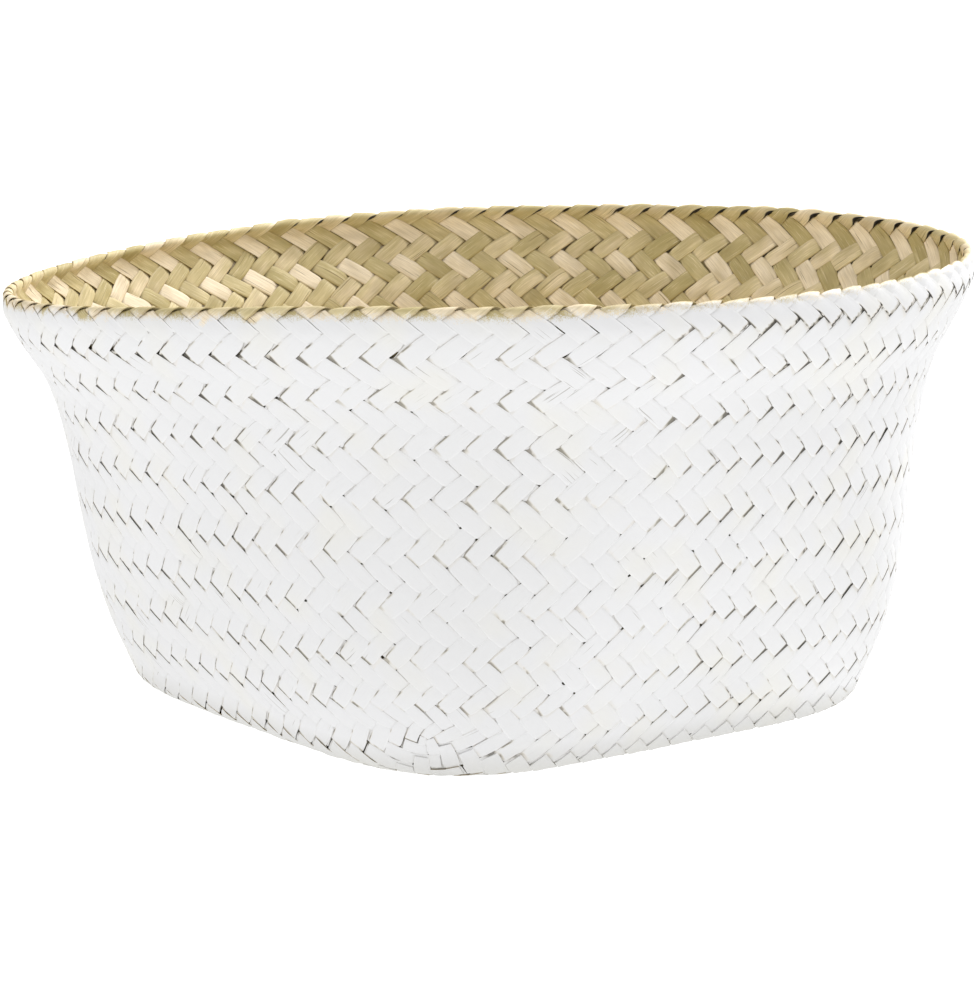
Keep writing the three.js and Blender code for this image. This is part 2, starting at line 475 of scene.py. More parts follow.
def evened(points, outer, free, neighbours):
    """Moves each free crossing along the surface to the middle of its four neighbours, again and
    again."""
    plane = points.reshape(-1, 2).copy()
    solid = on_layer(plane, outer)
    chosen = np.flatnonzero(free)
    around = [each.ravel()[chosen] for each in neighbours]
    step = 0.02
    last = np.zeros((len(chosen), 2))
    for _ in range(EVENING_ROUNDS):
        here = plane[chosen]
        pull = sum(solid[each] for each in around) / len(around) - solid[chosen]
        right = (on_layer(here + (step, 0), outer) - solid[chosen]) / step
        up = (on_layer(here + (0, step), outer) - solid[chosen]) / step
        a, b, c = ((one * other).sum(axis=-1) for one, other in ((right, right), (right, up), (up, up)))
        p, q = ((one * pull).sum(axis=-1) for one in (right, up))
        move = np.stack([c * p - b * q, a * q - b * p], axis=-1) / (a * c - b * b)[:, None]
        last = EVENING_SWING * last + move
        plane[chosen] = here + last
        solid[chosen] = on_layer(plane[chosen], outer)
    return plane.reshape(points.shape)


def layer_lattice(outer):
    """Where the strips of one layer cross, in the rolled-out plane. Each strip rises to the right on
    one wall, crosses the bottom and rises to the left on the next wall: crossing number path of a
    strip is at index path + 2 * start + TOP_ROW, and it crosses the bottom where path is negative."""
    strips = np.arange(STRIP_COUNT)[:, None]
    side, start = strips // SIDE_STRIPS, strips % SIDE_STRIPS + 0.5
    index = np.arange(2 * TOP_ROW + 2 * SIDE_STRIPS)[None, :]
    path = index - 2 * start - TOP_ROW
    rising = path > -start
    row = np.where(rising, path, -2 * start - path)
    origin = side * SIDE_STRIPS
    column = np.where(rising, origin + start + row / 2, origin - start - row / 2)
    tape_row = np.clip(row if outer else INNER_FOOT_ROW - row, 0, INNER_FOOT_ROW)
    at, angle = wall_place(column + (OUTER_TURN if outer else 0), tape_row)
    points = rolled_out(at if outer else TAPE_END - at, angle)
    inner_edge = TAPE_END - np.interp(INNER_FOOT_ROW, TAPE_ROW, TAPE_AT)
    edge = CREST_AT - OUTER_REACH if outer else inner_edge
    across = np.where(rising, 2 * start - SIDE_STRIPS + row, SIDE_STRIPS - row - 2 * start)
    flat = np.stack([across, -SIDE_STRIPS - row], axis=-1) * edge / SIDE_STRIPS
    turn = np.where(rising, side, side - 1) * QUARTER_TURN
    turned = np.stack([flat[..., 0] * np.cos(turn) - flat[..., 1] * np.sin(turn),
                       flat[..., 0] * np.sin(turn) + flat[..., 1] * np.cos(turn)], axis=-1)
    points = np.where((row >= 0)[..., None], points, turned)

    other = np.where(rising, origin + start + row, origin - start - row)
    other_side = np.where(rising, np.ceil(other / SIDE_STRIPS), np.floor(other / SIDE_STRIPS))
    other_start = np.abs(other - other_side * SIDE_STRIPS)
    other_strip = ((other_side % SIDES) * SIDE_STRIPS + other_start - 0.5).astype(int)
    other_index = np.where(rising, TOP_ROW - row, row + 2 * other_start + TOP_ROW).astype(int)
    size = index.shape[1]

    def numbered(strip_numbers, places):
        return strip_numbers * size + np.clip(places, 0, size - 1)

    before, after = numbered(strips, index - 1), numbered(strips, index + 1)
    other_before = numbered(other_strip, other_index - 1)
    other_after = numbered(other_strip, other_index + 1)
    free = (row < EVENED_UP) & (row > -EVENED_DOWN)
    points = evened(points, outer, free, (before, after, other_before, other_after))
    solid = on_layer(points, outer).reshape(-1, 3)
    crossing = (solid[other_after] - solid[other_before]) / 2
    forward = unit(solid[after] - solid[before])
    pitch = np.linalg.norm(np.cross(crossing, forward), axis=-1)
    return points, pitch


def stand_of(crossing, rising):
    """1 where a strip lies over the one that it crosses in a row of the wall, -1 where it lies under."""
    over = np.mod(crossing - 1, TWILL) < TWILL / 2
    return np.where(over == rising, 1.0, -1.0)


def eased(stands, path):
    """How far a strip stands out along its path: from over to under it passes between two crossings."""
    before = np.floor(path + ROUNDING)
    part = path - before
    low, high = stands(before), stands(before + 1)
    passed = np.clip((part - PASSING_START) / PASSING_SHARE, 0, 1)
    arch = ARCH_SHARE * np.sin(math.pi * part) * (low + high) / 2
    return low + (high - low) * passed * passed * (3 - 2 * passed) + arch


def strip(lattice, outer, side, start, first, last):
    """One strip of a layer as stations along its path, between two places of that path in rows."""
    points, pitches = lattice

    def row_of(path):
        return np.where(path > -start, path, -2 * start - path)

    def stands(path):
        return stand_of(row_of(path), path > -start)

    def forward_of(path):
        fading = np.clip(row_of(path) / (TWILL / 2) + 1, LEAST_LATENESS_SHARE, 1)
        return np.where((path > -start) == outer, 1, -1) * fading

    whole = np.arange(math.floor(first), math.ceil(last) + 1)
    turning = stands(whole) != stands(whole + 1)
    ways = forward_of(whole + 0.5) * LATENESS
    steps = np.concatenate([[at, *(at + share + way for share in PASSING_STATIONS)] if turns
                            else [at, at + 0.5]
                            for at, turns, way in zip(whole, turning, ways)])
    path = steps[(steps >= first - ROUNDING) & (steps <= last + ROUNDING)]
    number = int(side * SIDE_STRIPS + start - 0.5)
    index = path + 2 * start + TOP_ROW
    low = np.floor(index + ROUNDING).astype(int)
    part = (index - low)[:, None]
    a, b, c, d = (points[number, low + shift] for shift in (-1, 0, 1, 2))
    slope = (c - a) / 2
    bend = a - 2.5 * b + 2 * c - d / 2
    twist = 1.5 * (b - c) + (d - a) / 2
    middle = b + part * (slope + part * (bend + part * twist))
    at, angle = rolled_in(middle)
    at = at if outer else TAPE_END - at
    solid = surface(at, angle)
    rising = path > -start
    row = row_of(path)
    steps_between = np.linalg.norm(np.diff(solid, axis=0), axis=-1)
    return {
        "points": solid,
        "face": facing(at, angle),
        "pitch": pitches[number, low] * (1 - part[:, 0]) + pitches[number, low + 1] * part[:, 0],
        "row": row if outer else INNER_FOOT_ROW - row,
        "stand": eased(stands, path - LATENESS * forward_of(path)),
        "along": np.concatenate([[0], np.cumsum(steps_between)]),
        "from_crest": CREST_AT - at,
        "rising": rising == outer,
        "number": np.floor(side * SIDE_STRIPS + np.where(rising, start, -start)) % STRIP_COUNT,
    }


def rising_tone(number):
    """Another tone for each strip that rises to the right."""
    return np.random.default_rng(SEED + 1).normal(*RISING_TONES, STRIP_COUNT)[number]


def falling_tone(number):
    """On the wall's inside the strips that fall to the right are pale and green by turns."""
    drawn = np.random.default_rng(SEED + 2).normal(0, FALLING_SPREAD, STRIP_COUNT)
    return np.where(number % 2 == 0, *FALLING_TONES) + drawn[number]


def new_piece(name, points, edges, faces, values):
    """A piece from points in millimetres, with the values that its points carry."""
    mesh = bpy.data.meshes.new(name)
    mesh.from_pydata(points * MM, edges, faces)
    for key, each in values.items():
        kind, field = ("FLOAT", "value") if each.ndim == 1 else ("FLOAT_VECTOR", "vector")
        drawn = each.astype(np.float32).ravel()
        mesh.attributes.new(key, kind, "POINT").data.foreach_set(field, drawn)
    made = bpy.data.objects.new(name, mesh)
    bpy.context.scene.collection.objects.link(made)
    return made


def strip_lines(name, strips):
    """The strips' middle lines as one piece of edges, with what the sweep and the materials read."""
    counts = [len(each["points"]) for each in strips]
    starts = np.cumsum([0] + counts[:-1])
    edges = np.concatenate([np.stack([np.arange(count - 1), np.arange(1, count)], axis=1) + start
                            for start, count in zip(starts, counts)])
    values = {key: np.concatenate([each[key] for each in strips])
              for key in ("stand", "row", "pitch", "along", "from_crest", "rising", "face")}
    values["strip"] = np.concatenate([np.full(count, index) for index, count in enumerate(counts)])
    number = np.concatenate([each["number"] for each in strips]).astype(int)
    tones = np.where(values["rising"], rising_tone(number), falling_tone(number))
    values["tone"] = np.clip(tones, 0, 1)
    return new_piece(name, np.concatenate([each["points"] for each in strips]), edges, [], values)


def add(tree, kind, *inputs, **settings):
    """Adds a node to a tree. A kind is Blender's name for the node, or that name with settings. Inputs
    go to the node's shown sockets in their order, or to those that a dictionary names. Each is a value,
    or a node, an output or a list of them to link: a node gives its first shown output."""
    name, usual = (kind, {}) if isinstance(kind, str) else kind
    made = tree.nodes.new(name)
    for setting, value in {**usual, **settings}.items():
        setattr(made, setting, value)
    shown = [socket for socket in made.inputs if socket.enabled]
    if inputs and isinstance(inputs[0], dict):
        named = inputs[0]
        sockets = [next(socket for socket in shown if socket.name == title) for title in named]
        inputs = named.values()
    else:
        sockets = shown
    for socket, value in zip(sockets, inputs):
        for each in value if isinstance(value, list) else [value]:
            if isinstance(each, bpy.types.Node):
                each = next(output for output in each.outputs if output.enabled)
            if isinstance(each, bpy.types.NodeSocket):
                tree.links.new(each, socket)
            else:
                socket.default_value = each
    return made


def product(node, *factors):
    """The factors multiplied with each other."""
    return reduce(partial(node, TIMES), factors)


def new_tree(name, sizes, counts=()):
    """A geometry tree that takes lines or sheets, sizes, counts and a material, and gives strips."""
    tree = bpy.data.node_groups.new(name, "GeometryNodeTree")
    taken = (("Course", "Geometry"), *((size, "Float") for size in sizes),
             *((count, "Int") for count in counts), ("Material", "Material"))
    for title, kind in taken:
        tree.interface.new_socket(title, in_out="INPUT", socket_type="NodeSocket" + kind)
    tree.interface.new_socket("Strips", in_out="OUTPUT", socket_type="NodeSocketGeometry")
    return tree


def end_tree(node, strips, material, sharp_edge):
    """Ends a tree: edges sharper than an angle stay sharp, and the strips get their material."""
    turned = node("GeometryNodeInputMeshEdgeAngle")
    sharp = node("ShaderNodeMath", turned, sharp_edge, operation="GREATER_THAN")
    smooth = node("GeometryNodeSetShadeSmooth",
                  {"Geometry": strips, "Selection": sharp, "Shade Smooth": False}, domain="EDGE")
    whole = node("GeometryNodeRealizeInstances", smooth)
    done = node("GeometryNodeSetMaterial", {"Geometry": whole, "Material": material})
    node("NodeGroupOutput", {"Strips": done})


def sweep_tree():
    """The tree that turns the strips' middle lines into flat, slightly crowned strips."""
    tree = new_tree("flat strips along lines",
                    ("Thickness", "Lift", "Least Fill", "Most Fill", "Pinch", "Wander"),
                    ("Section Points", "Seed"))
    node = partial(add, tree)
    given = node("NodeGroupInput").outputs
    along, number, stand, pitch = (node(CARRIED, name) for name in ("along", "strip", "stand", "pitch"))
    face = node(CARRIED_WAY, "face")

    def change(per_length, per_strip):
        place = node(PLACE, node(TIMES, along, per_length), node(TIMES, number, per_strip))
        return node(NOISE, {"Vector": place, "Scale": 1.0, "Detail": 1.0})

    fill = node("FunctionNodeRandomValue", given["Least Fill"], given["Most Fill"], number,
                given["Seed"], data_type="FLOAT")
    swing = node(MINUS, change(*WIDTH_CHANGE), 0.5)
    wide = node(PLUS, fill, node(TIMES, swing, WIDTH_SWING_SHARE))
    least, gain = PINCH_SWING
    pinch = product(node, node(MINUS, change(*PINCH_CHANGE), least), node(TIMES, given["Pinch"], gain))
    passing = node(MINUS, 1.0, node(TIMES, stand, stand))
    wide = node(MINUS, wide, node(TIMES, passing, pinch))
    radius = product(node, node(LESSER, pitch, MOST_PITCH), 0.5 * MM, wide)

    position = node("GeometryNodeInputPosition")
    patches = node(NOISE, {"Vector": position, "Scale": RELIEF_PATCHES, "Detail": 1.0})
    relief = node(RAMP, patches, *RELIEF_NOISE, *RELIEF_SHARES)
    rise = node(SCALED, face, product(node, stand, relief, given["Lift"]))
    tangent = node("GeometryNodeInputTangent")
    side = node("ShaderNodeVectorMath", tangent, face, operation="CROSS_PRODUCT")
    drift = node(SCALED, side, node(TIMES, swing, given["Wander"]))
    offset = node("ShaderNodeVectorMath", rise, drift)
    curve = node("GeometryNodeMeshToCurve", given["Course"])
    curve = node("GeometryNodeSetPosition", {"Geometry": curve, "Offset": offset})
    curve = node("GeometryNodeSetCurveNormal", {"Curve": curve, "Normal": face}, mode="FREE")

    circle = node("GeometryNodeCurvePrimitiveCircle",
                  {"Resolution": given["Section Points"], "Radius": 1.0})
    parts = node("ShaderNodeSeparateXYZ", position).outputs

    def squared(value):
        size = node(POWER, node(UNSIGNED, value), 0.5)
        return node(TIMES, node("ShaderNodeMath", value, operation="SIGN"), size)

    thick = node("ShaderNodeMath", given["Thickness"], STRIP_PITCH * MM, operation="DIVIDE")
    width = squared(parts["X"])
    flat = node(PLACE, node(TIMES, squared(parts["Y"]), thick), width)
    section = node("GeometryNodeStoreNamedAttribute",
                   {"Geometry": circle, "Name": "across", "Value": width},
                   data_type="FLOAT", domain="POINT")
    section = node("GeometryNodeSetPosition", {"Geometry": section, "Position": flat})
    strips = node("GeometryNodeCurveToMesh",
                  {"Curve": curve, "Profile Curve": section, "Scale": radius, "Fill Caps": True})
    end_tree(node, strips, given["Material"], STRIP_SHARP_EDGE)
    return tree


def sheet_tree():
    """The tree that gives the rim's sheets their lift, crown and thickness."""
    tree = new_tree("thick strips from sheets", ("Thickness", "Lift"))
    node = partial(add, tree)
    given = node("NodeGroupInput").outputs
    face = node(CARRIED_WAY, "face")
    edge = node(POWER, node(UNSIGNED, node(CARRIED, "across")), CROWN_POWER)
    half = product(node, given["Thickness"], 0.5, node(MINUS, CROWN_SHARE, edge))
    low = node(MINUS, node(TIMES, node(CARRIED, "stand"), given["Lift"]), half)
    under = node("GeometryNodeSetPosition",
                 {"Geometry": given["Course"], "Offset": node(SCALED, face, low)})
    raised = node("GeometryNodeExtrudeMesh",
                  {"Mesh": under, "Offset": node(SCALED, face, node(TIMES, half, 2.0)),
                   "Offset Scale": 1.0, "Individual": False}, mode="FACES")
    lining = node("GeometryNodeFlipFaces", under)
    joined = node("GeometryNodeJoinGeometry", [raised, lining])
    closed = node("GeometryNodeMergeByDistance", {"Geometry": joined, "Distance": 0.001 * MM})
    even = node("GeometryNodeSetShadeSmooth", {"Geometry": closed, "Shade Smooth": True}, domain="FACE")
    end_tree(node, even, given["Material"], FOLD_SHARP_EDGE)
    return tree


def finished(piece, tree, inputs):
    """The piece with a tree's result as its plain mesh."""
    modifier = piece.modifiers.new("strips", "NODES")
    modifier.node_group = tree
    identifiers = {item.name: item.identifier for item in tree.interface.items_tree
                   if item.in_out == "INPUT"}
    for name, value in inputs.items():
        modifier[identifiers[name]] = value
    graph = bpy.context.evaluated_depsgraph_get()
    mesh = bpy.data.meshes.new_from_object(piece.evaluated_get(graph), preserve_all_data_layers=True,
                                           depsgraph=graph)
    piece.modifiers.remove(modifier)
    old = piece.data
    piece.data = mesh
    bpy.data.meshes.remove(old)
    mesh.name = piece.name
    return piece


def linear(colour):
    """A hex sRGB colour as linear red, green, blue and full alpha."""
    channels = [int(colour[at:at + 2], 16) / 255 for at in (1, 3, 5)]
    return (*[c / 12.92 if c <= 0.04045 else ((c + 0.055) / 1.055) ** 2.4 for c in channels], 1)


def tinted(node, colour, tints):
    """A colour with tints laid over it in turn: each has its share and its hex colour."""
    for share, tint in tints:
        colour = node(MIX, share, colour, linear(tint))
    return colour


def new_material(name, *carried):
    """An empty material, what adds its nodes, and what the strips' points carry under some names."""
    material = bpy.data.materials.new(name)
    material.use_nodes = True
    material.node_tree.nodes.clear()
    node = partial(add, material.node_tree)
    values = {key: node("ShaderNodeAttribute", attribute_name=key).outputs["Fac"] for key in carried}
    return material, node, values


def end_material(node, colour, roughness, strength, depth, height):
    """Ends a material: a leaf's sheen, and dents of a depth in millimetres."""
    bump = node("ShaderNodeBump", {"Strength": strength, "Distance": depth * MM, "Height": height})
    leaf = node("ShaderNodeBsdfPrincipled",
                {"Base Color": colour, "Roughness": roughness, "IOR": LEAF_IOR, "Normal": bump})
    node("ShaderNodeOutputMaterial", {"Surface": leaf})


def sedge(node, values, shaded):
    """Colour, fibres and splits of a bare flattened sedge leaf: straw to olive from strip to strip,
    with fibres and a few fine splits along it, and painted shade at its edges and, over a range of
    its stand, painted shade where it dips under another strip."""
    def marks(length, width, apart, detail, roughness=0.5):
        place = node(PLACE, node(TIMES, values["along"], 1 / length),
                     node(TIMES, values["across"], STRIP_PITCH / 2 / width),
                     node(TIMES, values["strip"], apart))
        return node(NOISE, place, 1.0, detail, roughness)

    fibres = marks(10, 0.4125, 5.3, 4.0, 0.65)
    blotches = marks(11.11, 4.714, 2.1, 2.0)
    splits = marks(20, 0.66, 3.3, 1.0)
    shade = marks(14.29, 8.25, 7.1, 1.0)
    tone = node(PLUS, values["tone"], node(TIMES, node(MINUS, blotches, 0.5), 0.9))
    ramp = node("ShaderNodeValToRGB", tone)
    while len(ramp.color_ramp.elements) < len(SEDGE_TONES):
        ramp.color_ramp.elements.new(0.5)
    for element, (position, colour) in zip(ramp.color_ramp.elements, SEDGE_TONES):
        element.position = position
        element.color = linear(colour)
    colour = tinted(node, ramp, (
        (node(RAMP, fibres, 0.35, 0.68, 0.0, 0.35), FIBRE_BROWN),
        (node(RAMP, fibres, 0.42, 0.3, 0.0, 0.5), FIBRE_CREAM),
        (node(RAMP, splits, 0.7, 0.74, 0.0, 0.6), SPLIT_BROWN),
        (node(RAMP, shade, 0.45, 0.75, 0.0, 0.4), SHADE_OLIVE),
        # Painted shade along the strip's edges and where it dips under another strip
        (node(RAMP, node(UNSIGNED, values["across"]), 0.85, 1.0, 0.0, 0.35), EDGE_SHADE_OCHRE),
        (node(RAMP, values["stand"], *shaded, 0.0, 0.7), DIP_SHADE_BROWN)))
    return colour, fibres, splits


def natural_material(name):
    """Seagrass-like sedge, dried and flattened: a soft satin leaf with fine long fibres."""
    material, node, values = new_material(name, "along", "across", "strip", "tone", "stand")
    # The stand over which painted shade darkens a strip where it dips under another
    colour, fibres, _ = sedge(node, values, (0.2, -0.7))
    end_material(node, colour, 0.58, 0.6, 0.2, fibres)
    return material


def painted_material(name):
    """White chalk paint brushed over the sedge: matt, a little uneven, missing in a ragged hem under
    the crest that narrows to one side, and in thin broken gaps where strips come out from under
    others: the rising strips on one side of the basket and the falling strips on the other. Painted
    shade darkens those gaps, the bare sedge under the folds' edges and between them just inside the
    crest, and the coat towards the foot; painted light, partly pooled paint, makes the coat paler
    along the strips' edges."""
    material, node, values = new_material(name, "along", "across", "strip", "tone", "stand", "row",
                                          "rising", "from_crest")
    # The stand over which painted shade darkens a strip where it dips under another
    colour, fibres, splits = sedge(node, values, (-0.2, -0.9))
    across, stand, row, from_crest = (values[key] for key in ("across", "stand", "row", "from_crest"))
    place = node("ShaderNodeTexCoord").outputs["Object"]
    parts = node("ShaderNodeSeparateXYZ", place).outputs
    sideways = node(PLUS, node(TIMES, parts["X"], math.cos(HEM_WAY) / MM),
                    node(TIMES, parts["Y"], math.sin(HEM_WAY) / MM))
    aside = node(UNSIGNED, sideways)
    height = node(TIMES, parts["Z"], 1 / MM)

    def cloud_of(size, detail):
        return place, 1 / (size * MM), detail

    def swing(noise, size):
        return node(TIMES, node(MINUS, noise, 0.5), size)

    # The hem, and the paint's cover over it: only the outer face of a strip is painted
    drift = node(NOISE, *cloud_of(DRIFT_SIZE, 1.0))
    waver = node(TIMES, swing(drift, HEM_WAVER), node(RAMP, sideways, *WAVER_STOPS, 1.0, 0.0))
    hem = node(PLUS, node(RAMP, sideways, *HEM_NARROWS, *HEM_DEPTHS), waver)
    frayed = node(PLUS, swing(node(NOISE, *cloud_of(FRAY_SIZE, 3.0)), HEM_FRAY),
                  swing(node(NOISE, *cloud_of(GRAIN_SIZE, 2.0)), HEM_GRAIN))
    chips = node(TIMES, node(RAMP, node(NOISE, *cloud_of(CHIP_SIZE, 2.0)), 0.6, 0.7),
                 node(RAMP, sideways, *CHIPS_STOP, CHIP_DEPTH, 0.0))
    hem = node(PLUS, node(PLUS, hem, frayed), chips)
    covered = node(LESSER, node(RAMP, node(MINUS, from_crest, hem), -1.0, 1.2),
                   node(RAMP, from_crest, 0.0, 0.5))
    face = node("ShaderNodeAttribute", attribute_name="face").outputs["Vector"]
    normal = node("ShaderNodeNewGeometry").outputs["Normal"]
    fronted = node("ShaderNodeVectorMath", normal, face, operation="DOT_PRODUCT")
    covered = node(TIMES, covered, node(RAMP, fronted, -0.3, 0.0))

    # The gaps, in patches: short ends of the strips that come out from under others, and long sides of
    # the floats there. The paint is missing there, and painted shade darkens the bare sedge
    patches = node(PLUS, node(NOISE, *cloud_of(GAP_PATCH_SIZE, 2.0)),
                   node(RAMP, aside, *GAPS_GROW, -0.02, 0.1))
    patches = node(RAMP, patches, 0.4, 0.5)
    breaks = node(NOISE, *cloud_of(GAP_BREAK_SIZE, 1.0))
    ragged = node(TIMES, node(RAMP, breaks, 0.34, 0.46, 0.15, 1.0),
                  node(RAMP, aside, *GAPS_JOIN, 0.75, 1.0))
    dipping = node(RAMP, aside, *GAPS_GROW, 0.64, 0.95)
    dipping = node(RAMP, stand, dipping, node(MINUS, dipping, 0.45))
    leftness = node(RAMP, sideways, *GAPS_CHANGE_SIDES, 1.0, -1.0)
    on_side = node(TIMES, leftness, node(RAMP, values["rising"], 0.0, 1.0, -1.0, 1.0))

    def close_to(place_in_twill):
        turn = node(TIMES, node(MINUS, row, place_in_twill), 2 * math.pi / TWILL)
        return node(TIMES, node("ShaderNodeMath", turn, operation="COSINE"), leftness)

    ends = product(node, dipping, node(RAMP, close_to(0.5), -0.1, 0.4),
                   node(RAMP, on_side, -0.4, 0.4, 0.2, 1.0))
    sides = product(node, node(RAMP, across, -0.8, -0.92), node(RAMP, close_to(1.0), 0.4, 0.75),
                    node(RAMP, on_side, -0.2, 0.4))
    gaps = product(node, node(GREATER, ends, sides), ragged, patches, covered,
                   node(RAMP, height, *GAP_HEIGHTS))
    paint = node(TIMES, covered, node(MINUS, 1.0, gaps))

    # The coat: painted light along the strips' edges, partly pooled paint and partly offsetting their
    # shade; cracked here and there; painted shade towards the foot
    cream = node(NOISE, *cloud_of(CREAM_PATCH_SIZE, 1.0))
    cracks = node(TIMES, node(RAMP, splits, 0.71, 0.76, 0.0, 0.6),
                  node(RAMP, node(NOISE, *cloud_of(CRACK_PATCH_SIZE, 1.0)), 0.56, 0.6))
    coat = node(MIX, drift, linear(PAINT_LIGHT), linear(PAINT_DARK))
    coat = tinted(node, coat, (
        (node(RAMP, cream, 0.5, 0.7, 0.0, 0.4), PAINT_CREAM),
        (node(RAMP, fibres, 0.62, 0.75, 0.0, 0.3), PAINT_THIN),
        # Painted light along the strips' edges: partly pooled paint, partly offsetting their shade
        (node(RAMP, node(UNSIGNED, across), 0.8, 1.0, 0.0, 0.25), PAINT_THICK_AND_LIT),
        (cracks, CRACK_GREY),
        # Painted shade darkening the coat towards the foot
        (node(RAMP, height, *FOOT_SHADE_HEIGHTS, 0.0, 0.7), FOOT_SHADE_GREY)))

    # Painted deep shade on the bare sedge: under the folds' edges, and just inside the crest between
    # them
    in_slits = product(node, node(RAMP, stand, -0.1, -0.8), node(RAMP, from_crest, 0.0, -1.0),
                       node(RAMP, from_crest, -5.0, -3.0, 0.0, 0.8))
    open_to = node(LESSER, node(RAMP, row, CREST_ROW - 0.7, CREST_ROW + 0.2),
                   node(RAMP, row, CREST_ROW + 1.8, CREST_ROW + 0.7))
    open_to = product(node, open_to, node(RAMP, sideways, *SLITS_OPEN, 0.2, 1.0),
                      node(RAMP, node(NOISE, *cloud_of(SLIT_PATCH_SIZE, 1.0)), 0.35, 0.6, 0.12, 0.34))
    under_edge = node(RAMP, node(PLUS, across, node(MINUS, 1.0, open_to)), 0.0, -0.1)
    folded = node("ShaderNodeMath", values["strip"], STRIP_COUNT - 0.5, operation="LESS_THAN")
    # Painted shade on the bare sedge: black in the slits and under the folds' edges, near-black in the
    # gaps
    bare = tinted(node, colour, ((in_slits, SLIT_SHADE_BLACK), (node(TIMES, under_edge, folded), SLIT_SHADE_BLACK),
                                 (gaps, GAP_SHADE_GREY)))

    dents = node(PLUS, node(TIMES, fibres, 0.35), node(NOISE, *cloud_of(DENT_SIZE, 2.0)))
    end_material(node, node(MIX, paint, bare, coat), 0.65, 0.5, 0.5, dents)
    return material


def hill(place, top, reach):
    """1 at a top and less away from it, by a reach."""
    return np.exp(-((place - top) / reach) ** 2)


def rim_sheet(number, rising, rows, width, lap=0, hump=0, spread=0, slit=0):
    """One strip at the rim as a sheet that follows the plait's middle surface over the crest: a grid
    of level lines at the given rows. Width is a share of the pitch. A fold is wider by its spread just
    outside the crest and narrower by its slit just inside, its lap lifts the edge that lies over the
    next fold, and its hump is the height of its loose top."""
    row, over = np.meshgrid(rows, np.linspace(-1, 1, FOLD_POINTS), indexing="ij")
    beyond = row - CREST_ROW
    near = hill(beyond, *LAP_HILL)
    hidden = spread * hill(beyond, *SPREAD_HILL) - slit * hill(beyond, *SLIT_HILL)
    slant = 0.5 if rising else -0.5
    shift = over * width / 2 - hidden * (1 - over) / 2
    at, angle = wall_place(number + shift + slant * row, row)

    def stands(path):
        return stand_of(path, rising)

    solid = surface(at, angle)
    solid[..., 2] += hump * near * (1 - over * over)
    centre = solid[:, FOLD_POINTS // 2]
    length = np.concatenate([[0], np.cumsum(np.linalg.norm(np.diff(centre, axis=0), axis=-1))])
    inner_number = math.floor(number + slant * INNER_FOOT_ROW) % STRIP_COUNT
    if rising:
        paling = np.clip(-FOLD_PALING_PACE * beyond, 0, 1)
        tone = rising_tone(inner_number) - FOLD_PALENESS * paling
    else:
        tone = np.full(row.shape, falling_tone(inner_number))
    return {
        "points": solid,
        "face": facing(at, angle),
        "stand": eased(stands, row + (shift if rising else -shift) - LATENESS) + lap * over * near,
        "row": row,
        "across": over,
        "along": np.repeat(length[:, None], FOLD_POINTS, axis=1),
        "from_crest": CREST_AT - at,
        "strip": np.full(row.shape, number + (0 if rising else STRIP_COUNT)),
        "rising": np.full(row.shape, rising),
        "tone": tone,
    }


def rim_sheets(name):
    """The folds of the rim: every rising strip goes over the crest, and every falling strip ends its
    run under them, outside and inside."""
    drawn = np.random.default_rng(SEED + 3)
    bend_start, bend_end = CREST_ROW - FOLD_BEND_ROWS, CREST_ROW + FOLD_BEND_ROWS
    before, within, after = FOLD_STEPS
    over_crest = np.concatenate([np.linspace(FOLD_START_ROW, bend_start, before)[:-1],
                                 np.linspace(bend_start, bend_end, within),
                                 np.linspace(bend_end, FOLD_END_ROW, after)[1:]])
    up_outside = np.linspace(TUCK_START_ROW, CREST_ROW - TUCK_GAP_ROWS, TUCK_STEPS)
    down_inside = np.linspace(CREST_ROW + TUCK_GAP_ROWS, TUCK_END_ROW, TUCK_STEPS)
    crests = wall_place(np.arange(STRIP_COUNT) + CREST_ROW / 2, np.full(STRIP_COUNT, CREST_ROW))[1]
    gaping, flat = (size * swelling(crests, pace, towards)
                    for pace, size, towards in (RIM_OPENING, RIM_FLATNESS))
    sheets = []
    for number in range(STRIP_COUNT):
        raised = 1 - flat[number]
        sheets.append(rim_sheet(number, True, over_crest, drawn.uniform(*FOLD_WIDTH_SHARES),
                                drawn.uniform(*FOLD_LAPS) * raised,
                                drawn.triangular(*FOLD_HUMPS) * raised,
                                drawn.uniform(*FOLD_SPREADS),
                                drawn.uniform(*FOLD_SLITS) * raised + gaping[number]))
        for rows in (up_outside, down_inside):
            sheets.append(rim_sheet(number, False, rows, drawn.uniform(*TUCK_WIDTH_SHARES)))
    faces, count = [], 0
    for sheet in sheets:
        index = np.arange(sheet["row"].size).reshape(sheet["row"].shape) + count
        count += index.size
        corners = [index[:-1, :-1], index[:-1, 1:], index[1:, 1:], index[1:, :-1]]
        faces.append(np.stack([corner.ravel() for corner in corners], axis=1))
    values = {key: np.concatenate([sheet[key].ravel() for sheet in sheets])
              for key in ("stand", "row", "across", "along", "from_crest", "strip", "rising", "tone")}
    points, values["face"] = (np.concatenate([sheet[key].reshape(-1, 3) for sheet in sheets])
                              for key in ("points", "face"))
    return new_piece(name, points, [], np.concatenate(faces), values)


